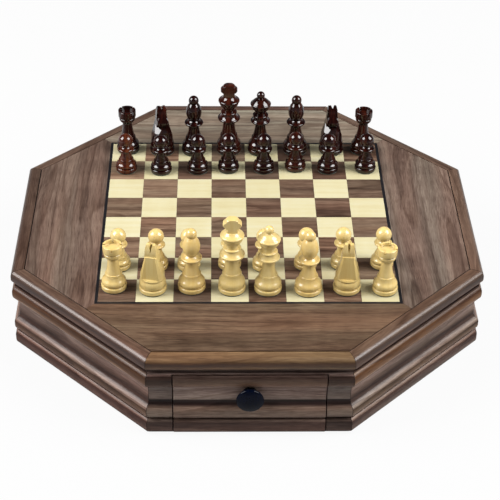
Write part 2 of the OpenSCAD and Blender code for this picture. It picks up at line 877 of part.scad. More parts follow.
module knight() {
    ledge_z = 13.4;
    bell_top_z = 11.2;
    ring_r = 8.9;
    groove_r = 8.4;
    groove_h = 0.5;
    groove_sweep = -60;
    h = knight_h - ledge_z;
    felt_and(piece_d / 2)
        union() {
            rotate_extrude()
                polygon(concat(
                    plinth_outline(piece_d / 2),
                    bulge([piece_d / 2 - BELL_IN, PLINTH_H], [ring_r, bell_top_z], piece_d / 2 - BELL_EDGE),
                    bow([groove_r, bell_top_z], [groove_r, bell_top_z + groove_h], groove_sweep),
                    bow([ring_r, bell_top_z + groove_h], [ring_r, ledge_z - 2 * QUIRK], EDGE_SWEEP),
                    [[groove_r, ledge_z - 2 * QUIRK], [groove_r, ledge_z], [0, ledge_z]]
                ));
            translate([0, 0, ledge_z])
                difference() {
                    intersection() {
                        rotate([90, 0, 90])
                            through(knight_side(h));
                        for (side = [0, 1])
                            mirror([side, 0, 0])
                                rotate([90, 0, 0])
                                    through(knight_half(h));
                        rotate_extrude()
                            polygon([
                                [0, 0], [SKIRT_R, 0],
                                [SKIRT_R, h - KNIGHT_FACET - 2], [SKIRT_R - EDGE_R, h - KNIGHT_CHEST],
                                [MANE_R, h - KNIGHT_MOUTH], [MANE_R, h + 1], [0, h + 1]
                            ]);
                    }
                    knight_cuts(h);
                }
        }
}

// A cut that leaves a plane face through a point; the face looks up by rise, turned by turn
module face_cut(point, rise, turn) {
    translate(point)
        rotate([rise, 0, turn])
            translate([-piece_d, 0, -piece_d])
                cube([2 * piece_d, piece_d, 2 * piece_d]);
}

// Cuts that shape the ears, the cheeks, the mouth, the chest and the mane
module knight_cuts(h) {
    rib = 1.9;
    face_w = 5.8;
    scoop_r = 6;
    notch_w = 2.4;
    notch_d = 6;
    chest_rise = 43;
    chest_turn = -40;
    mane_w = 7.6;
    mane_rise = 9;
    mane_turn = -130;
    jaw_z = h - KNIGHT_JAW - CHIN_H;
    poll_z = h - KNIGHT_POLL - QUIRK;
    translate([0, BROW_Y, h - KNIGHT_EAR])
        rotate([135, 0, 0])
            linear_extrude(height = piece_d)
                polygon([[0, 0], [notch_w, notch_d], [-notch_w, notch_d]]);
    for (side = [0, 1])
        mirror([side, 0, 0]) {
            intersection() {
                face_cut([rib, notch_w, jaw_z], chest_rise, chest_turn);
                translate([rib, 0, -piece_d])
                    cube([piece_d, piece_d, jaw_z + piece_d]);
            }
            intersection() {
                face_cut([mane_w / 2, MANE_Y, poll_z], mane_rise, mane_turn);
                translate([0, -piece_d, -piece_d])
                    cube([piece_d, piece_d, poll_z + piece_d]);
            }
            translate([face_w / 2 + scoop_r, BROW_Y / 2, h - KNIGHT_CHEEK])
                rotate([-90, 0, 0])
                    cylinder(r = scoop_r, h = piece_d);
        }
    rotate([90, 0, 90])
        through([
            [MUZZLE_Y - KNIGHT_EAR, h - KNIGHT_MOUTH],
            [SKIRT_R, h - KNIGHT_MOUTH - EDGE_R], [SKIRT_R, h - KNIGHT_MOUTH + EDGE_R]
        ]);
}

module man_shape(kind) {
    if (kind == "king") king();
    if (kind == "queen") queen();
    if (kind == "bishop") bishop();
    if (kind == "knight") knight();
    if (kind == "rook") rook();
    if (kind == "pawn") pawn();
}

// One man of the list, on its square
module man(m) {
    color(m[1] == "white" ? "khaki" : "maroon")
        translate(concat(square_at(m[3], m[4]) + m[5], play_z))
            rotate(m[6])
                man_shape(m[2]);
}

base_panel();
foot_pads();
for (k = [0 : SIDES - 1])
    case_side(k);
top_rim();
top_board();
veneer_border();
stringing();
maple_squares();
walnut_squares();
drawer_guides();
centre_divider();
rotate(180) drawer_front();  // front_drawer_front
rotate(180) drawer_box();  // front_drawer_box
rotate(180) drawer_bottom();  // front_drawer_bottom
rotate(180) drawer_knob();  // front_drawer_knob
rotate(180) knob_screw();  // front_knob_screw
drawer_front();  // back_drawer_front
drawer_box();  // back_drawer_box
drawer_bottom();  // back_drawer_bottom
drawer_knob();  // back_drawer_knob
knob_screw();  // back_knob_screw
for (m = MEN)
    man(m);
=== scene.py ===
"""Looks of the octagonal chess box with two drawers and its thirty-two men."""

import math

import bpy
from mathutils import Matrix, Vector

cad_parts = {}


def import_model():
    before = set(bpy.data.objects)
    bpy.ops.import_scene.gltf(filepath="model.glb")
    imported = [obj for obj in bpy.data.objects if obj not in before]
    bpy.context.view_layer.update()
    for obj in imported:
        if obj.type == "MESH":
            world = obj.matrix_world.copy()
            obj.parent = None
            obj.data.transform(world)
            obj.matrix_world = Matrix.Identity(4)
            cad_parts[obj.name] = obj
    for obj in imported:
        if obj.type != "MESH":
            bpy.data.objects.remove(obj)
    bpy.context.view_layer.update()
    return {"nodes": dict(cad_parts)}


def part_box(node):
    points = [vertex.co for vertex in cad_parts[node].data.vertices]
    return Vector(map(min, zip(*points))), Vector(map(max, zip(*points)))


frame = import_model()
NODES = frame["nodes"]
MM = 0.001

# ---- Heights and widths that the looks need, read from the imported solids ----
PLAY_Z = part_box("maple_squares")[1].z
FIELD_LOW, FIELD_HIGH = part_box("walnut_squares")
SQUARE = (FIELD_HIGH.x - FIELD_LOW.x) / 8
CASE_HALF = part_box("wall_right")[1].x
FELT_TOP = PLAY_Z + 0.65 * MM

# ---- Studio ----
# Colours are written as they look in the studio's light: what the surface gives back, times this level.
LIGHT_LEVEL = 2.6
BOXWOOD_LEVEL = 1.86
# The floor: its size in metres, its grey, the share of plain white that the camera sees in its place,
# and how far inside the case's outline that white ends, so that the gap under the box stays dark.
FLOOR_SIZE = 14
FLOOR_PALE = 0.33
FLOOR_SHARE = 0.93
UNDER_BOX = 4 * MM
# The world: light from all round, how much of it shows in a mirroring surface, and the glow of the
# backdrop there, which is whole up to the first height and gone at the second.
FILL = 0.34
MIRRORED_FILL = 0.035
BACKDROP = 0.3
BACKDROP_FULL = 0.1
BACKDROP_TOP = 0.55
# The softboxes: direction from the board, and power in watts. Distance and side are in metres.
SOFTBOXES = {
    "softbox_left": ((-0.77, -0.10, 0.63), 50.5),
    "softbox_right": ((0.72, -0.16, 0.68), 47.0),
}
SOFTBOX_DISTANCE = 1.6
SOFTBOX_SIDE = 1.0
# The camera: place in metres, yaw, pitch and roll in degrees, lens and sensor in millimetres.
CAMERA_PLACE = (-0.0242, -1.0199, 0.7591)
CAMERA_TURNS = (-1.54, 35.255, 0.903)
CAMERA_LENS = 111.05
CAMERA_SENSOR = 36

# ---- Finish of the solids: softened edges, welds and smooth rounds ----
EDGE = 0.3 * MM
DRAWER_EDGE = 0.25 * MM
EDGE_ANGLE = 35
SMOOTH_ANGLE = 28
WELD_DISTANCE = 2e-6

# ---- The case's sides ----
SIDES = 8
WALLS = ("back", "back_left", "left", "front_left", "front", "front_right", "right", "back_right")

# ---- Painted shade and light on the mouldings ----
# Height above the floor in millimetres, and what the painted shading leaves of the wood's colour there.
# It is painted shade in the notch, the cove and the neck, and painted highlights on the beads and at the
# edges of the flat.
WALL_PAINTED_SHADING = (
    (1.5, (0.55, 0.45, 0.40)),
    (5.0, (0.48, 0.36, 0.32)),
    (9.0, (0.26, 0.17, 0.15)),
    (12.0, (0.20, 0.12, 0.10)),
    (13.4, (0.78, 0.60, 0.52)),
    (14.4, (0.16, 0.10, 0.08)),
    (16.0, (0.60, 0.47, 0.40)),
    (18.0, (0.84, 0.70, 0.60)),
    (20.5, (0.42, 0.30, 0.20)),
    (23.2, (0.18, 0.10, 0.05)),
    (25.3, (1.10, 0.96, 0.88)),
    (27.0, (0.20, 0.13, 0.11)),
    (30.2, (0.13, 0.08, 0.07)),
    (33.5, (0.34, 0.25, 0.21)),
    (37.0, (0.66, 0.54, 0.50)),
    (43.4, (0.82, 0.70, 0.67)),
    (44.2, (0.44, 0.34, 0.29)),
    (45.6, (1.35, 1.16, 1.08)),
    (47.2, (0.80, 0.58, 0.42)),
    (49.5, (0.40, 0.22, 0.10)),
    (53.5, (0.26, 0.12, 0.04)),
    (55.4, (0.72, 0.54, 0.42)),
    (56.6, (0.20, 0.14, 0.12)),
)
# For the front and back walls and the drawer fronts: painted shade under the rim, where its shadow falls, and
# in the cove, and painted pale lines on the arrises.
FRONT_PAINTED_SHADING = (
    (2.0, (0.56, 0.42, 0.38)),
    (5.0, (0.50, 0.37, 0.33)),
    (9.0, (0.30, 0.21, 0.19)),
    (12.0, (0.18, 0.13, 0.12)),
    (13.5, (0.60, 0.50, 0.46)),
    (14.6, (0.34, 0.25, 0.22)),
    (15.8, (0.72, 0.60, 0.54)),
    (19.5, (0.88, 0.74, 0.64)),
    (25.6, (0.60, 0.47, 0.40)),
    (27.0, (0.12, 0.08, 0.08)),
    (30.2, (0.06, 0.04, 0.04)),
    (31.2, (0.80, 0.77, 0.74)),
    (43.6, (0.90, 0.85, 0.85)),
    (44.4, (0.70, 0.60, 0.56)),
    (45.2, (1.15, 1.00, 0.90)),
    (46.7, (0.56, 0.45, 0.38)),
    (48.0, (0.36, 0.27, 0.21)),
    (50.0, (0.24, 0.18, 0.14)),
    (54.2, (0.14, 0.10, 0.09)),
    (55.3, (0.95, 0.84, 0.82)),
    (56.6, (0.55, 0.48, 0.47)),
)
# For the rim: painted shade on its face below the rounded edge, and painted light on its lower arris and its
# top.
RIM_PAINTED_SHADING = (
    (60.3, (0.28, 0.22, 0.20)),
    (61.2, (0.82, 0.70, 0.61)),
    (62.8, (0.76, 0.64, 0.56)),
    (64.0, (0.46, 0.32, 0.22)),
    (65.2, (0.34, 0.21, 0.12)),
    (66.4, (0.33, 0.20, 0.11)),
    (67.3, (0.42, 0.34, 0.28)),
    (68.6, (0.88, 0.86, 0.82)),
    (69.4, (1.0, 1.0, 1.0)),
)
SHADING_BANDS_TOP = 70.0

# ---- Tints of the rim and of the veneers, counterclockwise from the right side ----
# Besides the strips' tone, these tints hold painted light and shade, set side by side to how each strip looks
# lit; the front strip's golden top is painted light.
RIM_TONE_AND_LIGHT = (
    (0.88, 0.79, 0.72),
    (0.84, 0.78, 0.73),
    (0.70, 0.58, 0.56),
    (0.78, 0.72, 0.67),
    (0.58, 0.52, 0.48),
    (0.80, 0.65, 0.58),
    (1.15, 1.04, 0.70),
    (0.96, 0.82, 0.70),
)
# The back veneer's tint, the second, is much lighter: painted sheen, the reflection that the top gives
# towards the back.
VENEER_TONE_AND_SHEEN = (
    (1.08, 1.15, 1.18),
    (1.55, 1.86, 1.86),
    (0.97, 0.93, 0.92),
    (0.87, 0.79, 0.64),
)

# ---- Tints of the walls and the drawer fronts, which lift their dark painted shading ----
WALL_TINT = (1.85, 2.06, 2.36)
FRONT_TINT = (1.75, 2.05, 2.35)
# The front-right wall's tint is lighter: painted light for the highlights on its beads.
RIGHT_WALL_LIT_TINT = (2.05, 2.72, 3.20)
LIT_SIDE_TINTS = {"front": FRONT_TINT, "back": FRONT_TINT, "front_right": RIGHT_WALL_LIT_TINT}
DRAWER_TINT = (2.40, 2.85, 3.25)

# ---- Men that are warmer than the rest of their side: 0 is the plain wood, 1 the warmest ----
GOLDEN = {
    "white_bishop_c": 0.8,
    "white_bishop_f": 0.7,
    "white_pawn_b": 0.6,
    "white_pawn_f": 0.5,
    "white_rook_a": 0.4,
    "white_knight_g": 0.3,
}
PLAIN_GOLDEN = 0.1
REDDER = {
    "black_pawn_a": 0.9,
    "black_pawn_f": 0.5,
    "black_king": 0.35,
    "black_rook_h": 0.3,
    "black_queen": 0.15,
}

# ---- Pale woods of the inside ----
BIRCH_DARK = (176, 138, 92)
BIRCH_LIGHT = (222, 190, 142)
PINE_DARK = (190, 150, 100)
PINE_LIGHT = (226, 194, 144)
PLY = 3.1 * MM
# Above this height the core is painted dark as shade.
CORE_TOP = PLAY_Z - 1.6 * MM


# ---- Node helpers ----
def new_material(name):
    material = bpy.data.materials.new(name)
    material.use_nodes = True
    tree = material.node_tree
    tree.nodes.clear()
    out = tree.nodes.new("ShaderNodeOutputMaterial")
    shader = tree.nodes.new("ShaderNodeBsdfPrincipled")
    tree.links.new(shader.outputs[0], out.inputs["Surface"])
    return material, tree, shader


def wire(tree, socket, value):
    """Links an output socket, or sets a plain value."""
    if isinstance(value, bpy.types.NodeSocket):
        tree.links.new(value, socket)
    elif isinstance(value, (tuple, list)) and len(value) == 3 and socket.type == "RGBA":
        socket.default_value = (*value, 1)
    else:
        socket.default_value = value


def node(tree, kind, values=None, out=0, **settings):
    n = tree.nodes.new(kind)
    for key, value in settings.items():
        setattr(n, key, value)
    for key, value in (values or {}).items():
        wire(tree, n.inputs[key], value)
    return n.outputs[out]


def math_node(tree, operation, a, b=0.0):
    return node(tree, "ShaderNodeMath", {0: a, 1: b}, operation=operation)


def vec(tree, operation, a, b=(0, 0, 0)):
    out = 1 if operation in ("LENGTH", "DOT_PRODUCT") else 0
    return node(tree, "ShaderNodeVectorMath", {0: a, 1: b}, out=out, operation=operation)


def noise(tree, place, scale, detail=2.0, rough=0.5, distortion=0.0):
    """Grey noise of the place, stretched by a scale for each axis, per metre."""
    stretched = vec(tree, "MULTIPLY", place, scale)
    return node(
        tree,
        "ShaderNodeTexNoise",
        {"Vector": stretched, "Scale": 1.0, "Detail": detail, "Roughness": rough, "Distortion": distortion},
    )


def ramp(tree, value, stops, mode="LINEAR"):
    n = tree.nodes.new("ShaderNodeValToRGB")
    n.color_ramp.interpolation = mode
    elements = n.color_ramp.elements
    while len(elements) < len(stops):
        elements.new(0.5)
    for element, (place, colour) in zip(elements, stops):
        element.position = place
        element.color = (*colour, 1)
    wire(tree, n.inputs[0], value)
    return n.outputs[0]


def mix(tree, factor, a, b, blend="MIX"):
    n = tree.nodes.new("ShaderNodeMix")
    n.data_type = "RGBA"
    n.blend_type = blend
    wire(tree, n.inputs["Factor"], factor)
    for name, value in (("A", a), ("B", b)):
        socket = next(s for s in n.inputs if s.name == name and s.type == "RGBA")
        wire(tree, socket, value)
    return next(s for s in n.outputs if s.type == "RGBA")


def plain_light(c):
    """One channel of a screen colour, 0 to 255, as light from 0 to 1."""
    share = c / 255
    if share <= 0.04045:
        return share / 12.92
    return ((share + 0.055) / 1.055) ** 2.4


def linear(rgb, level=LIGHT_LEVEL):
    """A colour as it looks in the studio's light, 0 to 255, turned into what the surface gives back."""
    return tuple(plain_light(c) / level for c in rgb)


def bump(tree, shader, height, depth, strength):
    """Fine relief from a height of 0 to 1, of a depth in metres."""
    normal = node(tree, "ShaderNodeBump", {"Height": height, "Distance": depth, "Strength": strength})
    wire(tree, shader.inputs["Normal"], normal)


def spread(tree, value, amount):
    """Noise about 0.5 turned into a swing about 0 of that amount."""
    centred = math_node(tree, "SUBTRACT", value, 0.5)
    return math_node(tree, "MULTIPLY", centred, amount)


def total(tree, *values):
    result = values[0]
    for value in values[1:]:
        result = math_node(tree, "ADD", result, value)
    return result


def object_place(tree):
    """The object's own coordinates, in metres."""
    return node(tree, "ShaderNodeTexCoord", out=3)


def axes(tree, vector):
    """The X, Y and Z of a vector, as sockets."""
    split = tree.nodes.new("ShaderNodeSeparateXYZ")
    wire(tree, split.inputs[0], vector)
    return split.outputs


# ---- Where the grain runs ----
# How far, in metres, the grain may jump from one strip or square to the next: along, across and down.
STRIP_JUMP = (3, 0.7, 0.7)
SQUARE_JUMP = (3, 0.7, 0)


def strip_place(tree, sides, seed):
    """The object's coordinates, turned so that the strip of a frame of that many sides runs along X,
    with a jump from strip to strip. Also the number of the strip, and its distance to the mitre."""
    place = object_place(tree)
    flat = axes(tree, place)
    angle = math_node(tree, "ARCTAN2", flat["Y"], flat["X"])
    step = 2 * math.pi / sides
    around = math_node(tree, "ROUND", math_node(tree, "DIVIDE", angle, step))
    count = math_node(tree, "MODULO", math_node(tree, "ADD", around, sides), sides)
    turn = math_node(tree, "MULTIPLY_ADD", count, -step)
    turn.node.inputs[2].default_value = -math.pi / 2
    turned = node(
        tree,
        "ShaderNodeVectorRotate",
        {"Vector": place, "Angle": turn},
        rotation_type="Z_AXIS",
    )
    strip_seed = math_node(tree, "ADD", count, seed)
    jump = node(tree, "ShaderNodeTexWhiteNoise", {"W": strip_seed}, out=1, noise_dimensions="1D")
    moved = vec(tree, "ADD", turned, vec(tree, "MULTIPLY", jump, STRIP_JUMP))
    local = axes(tree, turned)
    along = math_node(tree, "MULTIPLY", math_node(tree, "ABSOLUTE", local["X"]), math.cos(step / 2))
    outward = math_node(tree, "MULTIPLY", math_node(tree, "ABSOLUTE", local["Y"]), math.sin(step / 2))
    mitre = math_node(tree, "ABSOLUTE", math_node(tree, "SUBTRACT", outward, along))
    return moved, count, mitre


def square_place(tree, seed):
    """The object's coordinates with a jump from square to square, and a random colour for each."""
    place = object_place(tree)
    from_corner = vec(tree, "SUBTRACT", place, (FIELD_LOW.x, FIELD_LOW.y, 0))
    cell = vec(tree, "FLOOR", vec(tree, "DIVIDE", from_corner, (SQUARE, SQUARE, 1)))
    jump = node(tree, "ShaderNodeTexWhiteNoise", {"Vector": cell, "W": seed}, out=1, noise_dimensions="4D")
    return vec(tree, "ADD", place, vec(tree, "MULTIPLY", jump, SQUARE_JUMP)), jump


# ---- Materials ----
# Noise scales are features per metre along X, Y and Z, so grain runs the way of the small number.
# Depths of relief are in millimetres. Ramps give the share of the noise at which each colour is reached.
WALNUT = (
    (0.0, linear((68, 50, 42))),
    (0.28, linear((107, 86, 75))),
    (0.5, linear((132, 110, 97))),
    (0.72, linear((153, 131, 116))),
    (1.0, linear((176, 155, 137))),
)
# One growth ring, from early to late wood, as what it leaves of the colour, and the rings in the broad noise.
LATE_WOOD = (
    (0.0, (1.04, 1.04, 1.04)),
    (0.6, (0.98, 0.97, 0.96)),
    (0.93, (0.67, 0.62, 0.59)),
    (1.0, (1, 1, 1)),
)
GROWTH_RINGS = 10.0
SEAM_DARK = linear((40, 26, 20))
MAPLE = (
    (0.15, linear((240, 225, 172))),
    (0.5, linear((252, 241, 195))),
    (0.85, linear((255, 248, 214))),
)
BOXWOOD = (
    (0.05, linear((212, 160, 80), BOXWOOD_LEVEL)),
    (0.4, linear((238, 201, 118), BOXWOOD_LEVEL)),
    (0.7, linear((249, 222, 148), BOXWOOD_LEVEL)),
    (1.0, linear((253, 236, 176), BOXWOOD_LEVEL)),
)
LACQUER = (
    (0.0, linear((12, 3, 3))),
    (0.4, linear((38, 11, 8))),
    (0.7, linear((84, 34, 20))),
    (1.0, linear((136, 76, 42))),
)


def walnut_shader(tree, shader, place, streaks, gloss, shine):
    """Walnut whose grain runs along the X of place: growth rings, streaks, fibres and open pores.
    Streaks is how strong they are, gloss the roughness, and shine the level of the reflection."""
    warp = noise(tree, place, (5, 16, 16), 2.0)
    sway = {1: spread(tree, warp, 24 * MM), 2: spread(tree, warp, 16 * MM)}
    grain = vec(tree, "ADD", place, node(tree, "ShaderNodeCombineXYZ", sway))
    broad = noise(tree, grain, (2.5, 34, 34), 1.0, 0.5)
    streak = noise(tree, grain, (5, 170, 170), 4.0, 0.6)
    fibre = noise(tree, grain, (70, 1300, 1300), 2.0, 0.6)
    pore = noise(tree, grain, (120, 1500, 1500), 1.0, 0.5)
    figure = noise(tree, place, (60, 26, 26), 3.0, 0.6)
    hue = noise(tree, grain, (3, 40, 40), 2.0, 0.5)
    ring = math_node(tree, "FRACT", math_node(tree, "MULTIPLY", broad, GROWTH_RINGS))
    late = ramp(tree, ring, LATE_WOOD)
    shade = total(
        tree,
        0.5,
        spread(tree, broad, 0.6 * streaks),
        spread(tree, streak, 1.15 * streaks),
        spread(tree, fibre, 0.85),
        spread(tree, figure, 0.3),
    )
    wood = ramp(tree, shade, WALNUT)
    hue_mask = ramp(tree, hue, [(0.38, (0, 0, 0)), (0.62, (1, 1, 1))])
    tint = mix(tree, hue_mask, (1.0, 0.86, 0.82), (0.9, 0.96, 0.96))
    tinted = mix(tree, 0.8, wood, tint, "MULTIPLY")
    ringed = mix(tree, 1.0, tinted, late, "MULTIPLY")
    holes = ramp(tree, pore, [(0.56, (1, 1, 1)), (0.7, (0.62, 0.56, 0.52))])
    wire(tree, shader.inputs["Base Color"], mix(tree, 0.7, ringed, holes, "MULTIPLY"))
    rough = total(tree, gloss, spread(tree, fibre, 0.12), spread(tree, pore, 0.1))
    wire(tree, shader.inputs["Roughness"], rough)
    shader.inputs["Specular IOR Level"].default_value = shine
    relief = total(tree, fibre, math_node(tree, "MULTIPLY", holes, 0.8))
    bump(tree, shader, relief, 0.05 * MM, 0.6)


def retint(tree, shader, factor, colour, blend="MULTIPLY"):
    """Mixes one more colour into what the shader already has."""
    base = shader.inputs["Base Color"].links[0].from_socket
    wire(tree, shader.inputs["Base Color"], mix(tree, factor, base, colour, blend))


def walnut_frame(name, seed, tints, painted_shading=None, seam=0.25, gloss=0.36, shine=0.17):
    """Walnut of mitred strips, one for each tint: grain along the strip, painted shade and light by height,
    dark seams.
    Seam is half the seam's width, in millimetres."""
    sides = len(tints)
    material, tree, shader = new_material(name)
    place, count, mitre = strip_place(tree, sides, seed)
    walnut_shader(tree, shader, place, streaks=0.9, gloss=gloss, shine=shine)
    stops = [(i / sides, tint) for i, tint in enumerate(tints)]
    middle = math_node(tree, "DIVIDE", math_node(tree, "ADD", count, 0.5), sides)
    retint(tree, shader, 1.0, ramp(tree, middle, stops, "CONSTANT"))
    # Painted shade and highlights, multiplied in by height.
    if painted_shading:
        height = math_node(tree, "DIVIDE", axes(tree, object_place(tree))["Z"], SHADING_BANDS_TOP * MM)
        bands = [(level / SHADING_BANDS_TOP, colour) for level, colour in painted_shading]
        retint(tree, shader, 1.0, ramp(tree, height, bands))
    if seam:
        mitre_mm = math_node(tree, "MULTIPLY", mitre, 1 / MM)
        near = ramp(tree, mitre_mm, [(0.6 * seam, (1, 1, 1)), (seam, (0, 0, 0))])
        retint(tree, shader, near, SEAM_DARK, "MIX")
    return material


def walnut_squares():
    material, tree, shader = new_material("walnut_squares")
    place, jump = square_place(tree, 3.0)
    walnut_shader(tree, shader, place, streaks=1.2, gloss=0.44, shine=0.16)
    values = [(0.0, (0.8, 0.74, 0.68)), (0.5, (1.05, 0.99, 0.88)), (1.0, (1.36, 1.26, 1.08))]
    retint(tree, shader, 1.0, ramp(tree, axes(tree, jump)["Z"], values))
    return material


def maple():
    material, tree, shader = new_material("maple_squares")
    place, jump = square_place(tree, 11.0)
    streak = noise(tree, place, (12, 240, 240), 3.0, 0.55)
    fleck = noise(tree, place, (160, 700, 700), 2.0, 0.5)
    curl = noise(tree, place, (90, 25, 25), 2.0, 0.5)
    shade = total(tree, 0.5, spread(tree, streak, 0.8), spread(tree, fleck, 0.25), spread(tree, curl, 0.4))
    wood = ramp(tree, shade, MAPLE)
    value = ramp(tree, axes(tree, jump)["Z"], [(0.0, (0.93, 0.92, 0.88)), (1.0, (1.0, 1.0, 1.0))])
    wire(tree, shader.inputs["Base Color"], mix(tree, 1.0, wood, value, "MULTIPLY"))
    shader.inputs["Specular IOR Level"].default_value = 0.12
    wire(tree, shader.inputs["Roughness"], total(tree, 0.5, spread(tree, fleck, 0.1)))
    bump(tree, shader, fleck, 0.02 * MM, 0.4)
    return material


def stringing():
    material, tree, shader = new_material("black_stringing")
    place = strip_place(tree, 4, 5.0)[0]
    streak = noise(tree, place, (30, 900, 900), 3.0, 0.6)
    dye = ramp(tree, streak, [(0.3, linear((9, 9, 15))), (0.75, linear((28, 26, 34)))])
    wire(tree, shader.inputs["Base Color"], dye)
    wire(tree, shader.inputs["Roughness"], total(tree, 0.42, spread(tree, streak, 0.2)))
    bump(tree, shader, streak, 0.02 * MM, 0.5)
    return material


def upright_place(tree, centre, seed):
    """The object's coordinates about a man's own axis, with a jump that depends on the seed."""
    from_axis = vec(tree, "SUBTRACT", object_place(tree), (*centre, 0))
    return vec(tree, "ADD", from_axis, (seed * 0.37, seed * 0.61, seed * 0.13))


def boxwood(name, centre, seed, warm):
    """Pale wood with a satin finish: upright grain that shows as long flames on the turning."""
    material, tree, shader = new_material(name)
    place = upright_place(tree, centre, seed)
    warp = noise(tree, place, (60, 60, 25), 2.0)
    sway = spread(tree, warp, 4 * MM)
    grain = vec(tree, "ADD", place, node(tree, "ShaderNodeCombineXYZ", {0: sway, 1: sway}))
    ring = noise(tree, grain, (330, 90, 14), 3.0, 0.5)
    fibre = noise(tree, grain, (1500, 1500, 120), 2.0, 0.5)
    shade = total(tree, 0.6, spread(tree, ring, 0.5), spread(tree, fibre, 0.2))
    wood = ramp(tree, shade, BOXWOOD)
    wire(tree, shader.inputs["Base Color"], mix(tree, warm, wood, (0.98, 0.91, 0.83), "MULTIPLY"))
    wire(tree, shader.inputs["Roughness"], total(tree, 0.42, spread(tree, fibre, 0.12)))
    shader.inputs["Coat Weight"].default_value = 0.9
    shader.inputs["Coat Roughness"].default_value = 0.17
    shader.inputs["Specular IOR Level"].default_value = 0.2
    bump(tree, shader, fibre, 0.02 * MM, 0.25)
    return material


def lacquer(name, centre, seed, warm):
    """Dark red-brown lacquer over the same wood; warm is 0 for nearly black, 1 for a redder brown."""
    material, tree, shader = new_material(name)
    place = upright_place(tree, centre, seed)
    ring = noise(tree, place, (280, 90, 12), 3.0, 0.55)
    fibre = noise(tree, place, (1300, 1300, 90), 2.0, 0.5)
    shade = total(tree, 0.38 + 0.38 * warm, spread(tree, ring, 1.0), spread(tree, fibre, 0.2))
    wire(tree, shader.inputs["Base Color"], ramp(tree, shade, LACQUER))
    wire(tree, shader.inputs["Roughness"], total(tree, 0.45, spread(tree, fibre, 0.15)))
    shader.inputs["Coat Weight"].default_value = 1.0
    shader.inputs["Coat Roughness"].default_value = 0.1
    shader.inputs["Coat IOR"].default_value = 1.5
    shader.inputs["Specular IOR Level"].default_value = 0.0
    bump(tree, shader, fibre, 0.01 * MM, 0.2)
    return material


def felt(name, colour, deep):
    material, tree, shader = new_material(name)
    fuzz = noise(tree, object_place(tree), (2600, 2600, 2600), 4.0, 0.7)
    wire(tree, shader.inputs["Base Color"], ramp(tree, fuzz, [(0.3, linear(deep)), (0.7, linear(colour))]))
    wire(tree, shader.inputs["Roughness"], total(tree, 0.95, spread(tree, fuzz, 0.1)))
    shader.inputs["Sheen Weight"].default_value = 0.4
    bump(tree, shader, fuzz, 0.15 * MM, 0.8)
    return material


def black_gloss():
    material, tree, shader = new_material("black_lacquer")
    orange_peel = noise(tree, object_place(tree), (600, 600, 600), 2.0, 0.5)
    black = ramp(tree, orange_peel, [(0.3, linear((3, 8, 24))), (0.7, linear((8, 16, 38)))])
    wire(tree, shader.inputs["Base Color"], black)
    wire(tree, shader.inputs["Roughness"], total(tree, 0.16, spread(tree, orange_peel, 0.06)))
    shader.inputs["Specular IOR Level"].default_value = 0.09
    bump(tree, shader, orange_peel, 0.02 * MM, 0.4)
    return material


def pine(name, grain_scale, dark, light):
    """Pale drawer wood, grain along the longer way given by the scale for each axis."""
    material, tree, shader = new_material(name)
    place = object_place(tree)
    warp = noise(tree, place, (14, 14, 14), 2.0)
    sway = {0: spread(tree, warp, 10 * MM), 2: spread(tree, warp, 12 * MM)}
    grain = vec(tree, "ADD", place, node(tree, "ShaderNodeCombineXYZ", sway))
    band = noise(tree, grain, grain_scale, 3.0, 0.5)
    fibre = noise(tree, grain, tuple(6 * s for s in grain_scale), 2.0, 0.6)
    shade = total(tree, 0.5, spread(tree, band, 1.2), spread(tree, fibre, 0.4))
    wire(tree, shader.inputs["Base Color"], ramp(tree, shade, [(0.1, linear(dark)), (0.9, linear(light))]))
    wire(tree, shader.inputs["Roughness"], total(tree, 0.6, spread(tree, fibre, 0.15)))
    bump(tree, shader, fibre, 0.04 * MM, 0.5)
    return material


def board_core():
    """Plywood under the veneers; its top is painted dark as shade, where the shadow line shows it."""
    material, tree, shader = new_material("board_core")
    place = object_place(tree)
    height = axes(tree, place)["Z"]
    ply = math_node(tree, "PINGPONG", height, PLY)
    streak = noise(tree, place, (20, 500, 60), 3.0, 0.6)
    shade = total(tree, math_node(tree, "MULTIPLY", ply, 200.0), spread(tree, streak, 0.5))
    plain = ramp(tree, shade, [(0.1, linear((150, 112, 74))), (0.6, linear((206, 172, 124)))])
    # Painted shade: the core's top is dark so that the shadow line between the veneers and the rim looks
    # dark.
    top = math_node(tree, "GREATER_THAN", height, CORE_TOP)
    wire(tree, shader.inputs["Base Color"], mix(tree, top, plain, linear((26, 18, 16))))
    wire(tree, shader.inputs["Roughness"], total(tree, 0.75, spread(tree, streak, 0.2)))
    return material


def steel():
    material, tree, shader = new_material("screw_steel")
    grain = noise(tree, object_place(tree), (900, 200, 900), 2.0, 0.6)
    metal = ramp(tree, grain, [(0.3, linear((140, 142, 146))), (0.7, linear((196, 198, 202)))])
    wire(tree, shader.inputs["Base Color"], metal)
    wire(tree, shader.inputs["Roughness"], total(tree, 0.3, spread(tree, grain, 0.2)))
    shader.inputs["Metallic"].default_value = 1.0
    return material


# ---- Finish of the carried-over solids: welded, softened edges, smooth rounds ----
def mesh_group(name):
    """A node group for a mesh, with the geometry that comes in and the socket where it goes out."""
    group = bpy.data.node_groups.new(name, "GeometryNodeTree")
    group.interface.new_socket("Geometry", in_out="INPUT", socket_type="NodeSocketGeometry")
    group.interface.new_socket("Geometry", in_out="OUTPUT", socket_type="NodeSocketGeometry")
    n_in = group.nodes.new("NodeGroupInput")
    n_out = group.nodes.new("NodeGroupOutput")
    return group, n_in.outputs[0], n_out.inputs[0]


def compare(group, operation, a, b):
    """True where a number passes the test against another."""
    return node(group, "FunctionNodeCompare", {0: a, 1: b}, data_type="FLOAT", operation=operation)


